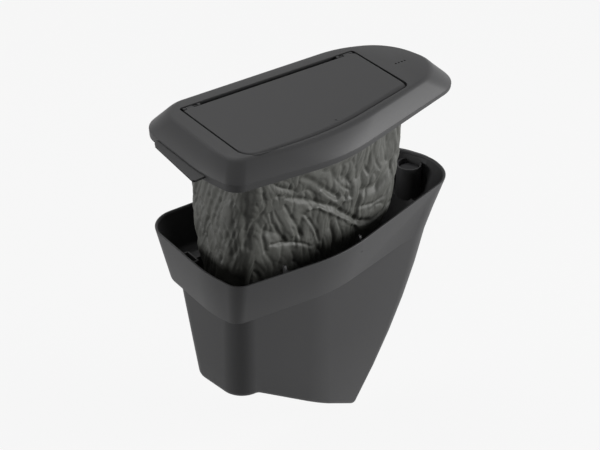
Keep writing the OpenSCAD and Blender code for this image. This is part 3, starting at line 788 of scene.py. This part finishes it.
# Crumple of the film as depth, how much less of it on the left end, spacing along and up, and shift
CRUMPLE = [(2.6, 0.8, 34, 66, 0), (1.2, 0.6, 15, 34, 0), (0.5, 0.2, 7, 20, 40), (0.18, 0.0, 3.6, 10, 90)]
END_PLEATS = 2.6
BULGE = 1.2
DEEPEST = 6.0

# Main folds as depth, width and a path over the film, from the cover's lower edge
FOLDS = [
    (2.6, 3.5, [(-56, -54, -23), (-41, -52, -35), (-22, -46, -55), (-8, -45, -67)]),
    (2.4, 3.0, [(-72, -49, -43), (-47, -47, -56), (-33, -47, -65), (-14, -45, -76), (7, -43, -96),
                (24, -41, -110)]),
    (2.8, 3.2, [(24, -41, -110), (39, -40, -115), (52, -39, -112), (68, -33, -107)]),
    (-1.7, 1.8, [(-43, -46, -69), (-32, -46, -70), (-22, -46, -78), (-3, -44, -93), (14, -42, -108)]),
    (-1.8, 1.8, [(14, -42, -108), (27, -40, -119), (40, -39, -123), (53, -38, -121)]),
    (3.4, 5.0, [(72, -34, -52), (60, -39, -65), (50, -40, -72), (42, -40, -76), (27, -42, -74)]),
    (1.8, 2.0, [(-90, -46, -55), (-88, -46, -67), (-77, -45, -86), (-71, -45, -95)]),
    (-1.6, 2.4, [(-85, -48, -48), (-73, -46, -71), (-62, -46, -92)]),
    (2.0, 2.0, [(-74, -47, -51), (-63, -46, -73), (-56, -46, -85), (-53, -46, -95)]),
    (-1.4, 1.8, [(-48, -46, -77), (-40, -46, -89), (-35, -46, -102)]),
    (1.8, 2.0, [(-43, -46, -81), (-34, -46, -99), (-30, -45, -111)]),
    (1.6, 1.8, [(-89, -45, -92), (-69, -45, -98), (-51, -45, -105), (-40, -45, -113)]),
    (2.6, 4.0, [(-116, -48, -25), (-115, -44, -46), (-116, -42, -66), (-117, -42, -85)]),
    (1.4, 2.4, [(-108, -45, -62), (-112, -44, -75), (-113, -44, -89)]),
    (1.6, 2.4, [(-128, 18, -57), (-129, 6, -70), (-131, -12, -88), (-132, -23, -105)]),
    (1.4, 2.2, [(-127, 3, -47), (-129, -8, -63), (-130, -26, -85)]),
    (1.2, 2.0, [(-126, -11, -38), (-128, -21, -57), (-126, -33, -79), (-126, -35, -96)]),
    (1.2, 2.0, [(-124, -33, -30), (-124, -34, -58), (-123, -38, -92)]),
    (1.4, 2.0, [(-128, 28, -57), (-130, 19, -77), (-132, 5, -94), (-133, -6, -109)]),
    (1.4, 1.8, [(25, -40, -32), (27, -41, -43), (32, -42, -56)]),
    (1.3, 1.8, [(39, -39, -34), (42, -40, -46), (47, -40, -56)]),
    (1.4, 1.8, [(8, -45, -29), (15, -42, -44), (16, -43, -56)]),
    (1.2, 1.6, [(-5, -48, -30), (1, -43, -45), (8, -44, -58)]),
    (1.2, 1.6, [(52, -38, -32), (55, -38, -42), (57, -39, -51)]),
    (1.2, 1.6, [(-21, -52, -26), (-14, -48, -41), (-2, -45, -58), (8, -43, -66)]),
    (-1.5, 2.4, [(-30, -47, -53), (-18, -46, -65), (-8, -45, -74)]),
    (-1.4, 2.0, [(-6, -45, -71), (2, -44, -76), (9, -43, -77)]),
    (1.4, 2.0, [(-95, -46, -67), (-98, -45, -80), (-95, -45, -97)]),
    (1.2, 1.8, [(-84, -51, -35), (-80, -48, -49)]),
    (1.2, 1.8, [(-102, -52, -26), (-96, -49, -44), (-100, -46, -54)]),
    (1.6, 2.2, [(65, -38, -70), (63, -38, -83), (55, -39, -92), (40, -40, -95), (24, -42, -92)]),
]

COLUMNS = 520
ROWS = 150


def even_columns(rings, count):
    """Resamples rings of equal make-up at the same evenly spread places."""
    guide = rings[2]
    steps = np.linalg.norm(np.roll(guide, -1, axis=0) - guide, axis=1)
    run = np.concatenate([[0], np.cumsum(steps)])
    at = np.arange(count) * run[-1] / count
    k = np.clip(np.searchsorted(run, at, side="right") - 1, 0, len(guide) - 1)
    f = ((at - run[k]) / steps[k])[:, None]
    return [r[k] * (1 - f) + np.roll(r, -1, axis=0)[k] * f for r in rings]


def path_distance(points, path):
    """Distance of each point from a path of straight runs."""
    best = np.full(len(points), 1e9)
    for a, b in zip(path, path[1:]):
        a, b = np.array(a, float), np.array(b, float)
        t = np.clip((points - a) @ (b - a) / ((b - a) @ (b - a)), 0, 1)
        best = np.minimum(best, np.linalg.norm(points - a - t[:, None] * (b - a), axis=1))
    return best


def crumple(points, along, up, turn):
    """Sharp-edged creases, along and up mm apart, in a field that leans by turn."""
    depth = np.empty(len(points))
    for i, (x, y, z) in enumerate(points):
        w = noise.noise_vector(Vector((x * 0.03, y * 0.03, z * 0.03 + 7))) * 9
        u = x + w.x + turn[i] * z
        v = noise.noise(Vector((u / along, (y + w.y) / along, (z + w.z) / up)))
        depth[i] = min(1.0, abs(v) * 2.4)
    return depth


def bag_depth(points):
    """How far the film's folds lie behind its smooth form, in mm.

    Where the tub is close when the cover is on, at its mouth and its leaning end, the film bulges least.
    """
    x, _, z = points.T
    end = np.clip((-108 - x) / 14, 0, 1)
    turn = (0.55 * np.clip((30 - x) / 90, 0, 1) - 0.15) * (1 - end)
    depth = np.zeros(len(points))
    for size, less, along, up, shift in CRUMPLE:
        depth += (size - less * end) * (1 - crumple(points + shift, along, up, turn)) ** 2
    pleats = np.array([noise.noise(Vector((a / 20, (b + 0.3 * c) / 5.5, c / 90))) for a, b, c in points])
    depth += end * END_PLEATS * np.abs(pleats)
    for size, width, path in FOLDS:
        d = path_distance(points, path)
        depth += size * np.exp(-(d / width) ** 2 * 1.1)
    hung = np.clip((1 - z) / 16, 0, 1)
    mouth = np.exp(-((z + 46) / 9) ** 2)
    leaning_end = np.exp(-((x - 50) / 20) ** 2 - ((z + 118) / 14) ** 2) * BULGE
    furthest_out = np.maximum(mouth, leaning_end) - BULGE
    return np.clip(depth - BULGE, furthest_out, DEEPEST) * (0.25 + 0.75 * hung)


def bag_grid():
    """Rows of points down the bag and under its rounded lower edge, before any folds."""
    levels = even_columns([ring(corners) for _, corners in BAG], COLUMNS)
    heights = np.array([z for z, _ in BAG])
    rows = []
    for z in np.linspace(heights[0], heights[-1], ROWS):
        k = int(np.clip(np.searchsorted(-heights, -z, side="right") - 1, 0, len(heights) - 2))
        t = (heights[k] - z) / (heights[k] - heights[k + 1])
        rows.append(level(mix(levels[k], levels[k + 1], t), z))
    for w in np.radians(np.arange(12, 91, 6)):
        shrink = 1 - 0.13 * (1 - math.cos(w))
        q = (rows[ROWS - 1] - BAG_CENTRE) * [shrink, shrink, 0] + BAG_CENTRE
        q[:, 2] = heights[-1] + (BAG_LOW - heights[-1]) * math.sin(w)
        rows.append(q)
    return np.array(rows)


def make_bag():
    """The film, drawn in by its folds and closed by a nearly flat floor."""
    grid = bag_grid()
    side = np.roll(grid, -1, axis=1) - np.roll(grid, 1, axis=1)
    normal = np.dstack([-side[..., 1], side[..., 0], np.zeros(side.shape[:2])])
    normal /= np.linalg.norm(normal, axis=2)[..., None]
    depth = bag_depth(grid.reshape(-1, 3)).reshape(grid.shape[:2])
    grid = grid + normal * depth[..., None]
    shell = Shell()
    loops = shell.wrap(list(grid[::-1]))
    foot = grid[-1]
    edge = loops[0]
    for k in range(1, 9):
        t = 1 - k / 8.5
        inner = shell.loop((foot - BAG_CENTRE) * [t, t, 1] + BAG_CENTRE + [0, 0, 1.2 * (1 - t)])
        shell.band(inner, edge)
        edge = inner
    shell.fill(edge, down=True)
    bag = piece("bag_film", shell, film_mat, "cover_body", lift=COVER_Z, sharp=85)
    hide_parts("bag")


make_bag()

# Pieces that are shown as the CAD's own solids
SOLIDS = [(cushion_mat, ["post_cushion"]),
          (inner_mat, ["inner_frame", "bag_ring", "flap_liner", "latch_housing"]),
          (dark_steel_mat, ["hinge_pin_left", "hinge_pin_right", "spring_left", "spring_right"]),
          (steel_mat, ["latch_striker", "latch_spring", "frame_screws", "latch_screws", "flap_screws"]),
          (button_mat, ["latch_plunger"]),
          (rubber_mat, ["flap_buffers"])]
for material, names in SOLIDS:
    for name in names:
        nodes[name].data.materials.clear()
        nodes[name].data.materials.append(material)


# Camera and studio, in metres
TARGET = Vector((-0.0335, -0.017, 0.053))
CAMERA = Vector((-0.8675, -1.1733, 0.9789))
camera_data = bpy.data.cameras.new("camera")
camera_data.lens = 102
camera_data.sensor_width = 36
camera = bpy.data.objects.new("camera", camera_data)
camera.location = CAMERA
camera.rotation_mode = "QUATERNION"
camera.rotation_quaternion = (TARGET - CAMERA).to_track_quat("-Z", "Y")
bpy.context.scene.collection.objects.link(camera)
bpy.context.scene.camera = camera


def area_light(name, place, aim, size, power):
    """Rectangular soft box that faces its aim."""
    data = bpy.data.lights.new(name, "AREA")
    data.shape = "RECTANGLE"
    data.size, data.size_y = size
    data.energy = power
    obj = bpy.data.objects.new(name, data)
    obj.location = place
    obj.rotation_mode = "QUATERNION"
    obj.rotation_quaternion = (Vector(aim) - Vector(place)).to_track_quat("-Z", "Y")
    bpy.context.scene.collection.objects.link(obj)


def shown_pale(tree):
    """1 for rays of the camera and for what gloss and glass show, otherwise 0."""
    path = tree.nodes.new("ShaderNodeLightPath")
    total = path.outputs["Is Camera Ray"]
    for name in ("Is Glossy Ray", "Is Transmission Ray"):
        either = tree.nodes.new("ShaderNodeMath")
        either.operation = "MAXIMUM"
        tree.links.new(total, either.inputs[0])
        tree.links.new(path.outputs[name], either.inputs[1])
        total = either.outputs["Value"]
    return total


FLOOR_Z = -0.204
FLOOR_REACH = 9
FLOOR_GLOW = 0.9
ROOM_LIGHT = 0.08
PALE = 0.915


def make_floor():
    """Matt floor. What the camera sees of it is pale and even, and keeps some of the object's shadow."""
    material, tree, shader = new_material("floor_paint")
    speck = noise_node(tree, 300, 2.0)
    tree.links.new(tinted(tree, speck, (0.33, 0.33, 0.33), (0.36, 0.36, 0.36)), shader.inputs["Base Color"])
    tree.links.new(bump(tree, speck, 0.05, 0.0002), shader.inputs["Normal"])
    shader.inputs["Roughness"].default_value = 0.9
    shader.inputs["Specular IOR Level"].default_value = 0.1
    glow = tree.nodes.new("ShaderNodeEmission")
    glow.inputs["Color"].default_value = (1, 1, 1, 1)
    share = tree.nodes.new("ShaderNodeMath")
    share.operation = "MULTIPLY"
    share.inputs[1].default_value = FLOOR_GLOW
    blend = tree.nodes.new("ShaderNodeMixShader")
    tree.links.new(shown_pale(tree), share.inputs[0])
    tree.links.new(share.outputs["Value"], blend.inputs["Fac"])
    tree.links.new(shader.outputs["BSDF"], blend.inputs[1])
    tree.links.new(glow.outputs["Emission"], blend.inputs[2])
    tree.links.new(blend.outputs["Shader"], tree.nodes["Material Output"].inputs["Surface"])
    mesh = bpy.data.meshes.new("floor")
    corners = [(-1, -1), (1, -1), (1, 1), (-1, 1)]
    mesh.from_pydata([(FLOOR_REACH * x, FLOOR_REACH * y, FLOOR_Z) for x, y in corners], [], [(0, 1, 2, 3)])
    mesh.materials.append(material)
    floor = bpy.data.objects.new("floor", mesh)
    bpy.context.scene.collection.objects.link(floor)


def make_world():
    """Dim studio room. Camera, gloss and glass see it as pale as the floor."""
    world = bpy.data.worlds.new("world")
    world.use_nodes = True
    tree = world.node_tree
    room = tree.nodes["Background"]
    room.inputs["Color"].default_value = (1, 1, 1, 1)
    room.inputs["Strength"].default_value = ROOM_LIGHT
    pale = tree.nodes.new("ShaderNodeBackground")
    pale.inputs["Color"].default_value = (PALE, PALE, PALE, 1)
    blend = tree.nodes.new("ShaderNodeMixShader")
    tree.links.new(shown_pale(tree), blend.inputs["Fac"])
    tree.links.new(room.outputs["Background"], blend.inputs[1])
    tree.links.new(pale.outputs["Background"], blend.inputs[2])
    tree.links.new(blend.outputs["Shader"], tree.nodes["World Output"].inputs["Surface"])
    bpy.context.scene.world = world


bpy.context.scene.view_settings.view_transform = "Standard"
make_floor()
make_world()
area_light("left_box", (-1.7, 0.8, 0.34), (0, 0, 0.05), (0.8, 0.8), 21)
area_light("right_box", (1.45, -1.2, 0.4), (0, 0, 0.05), (0.8, 0.9), 49)
area_light("top_box", (0.1, 0.9, 1.8), (0, 0, 0.1), (1.2, 0.8), 16)
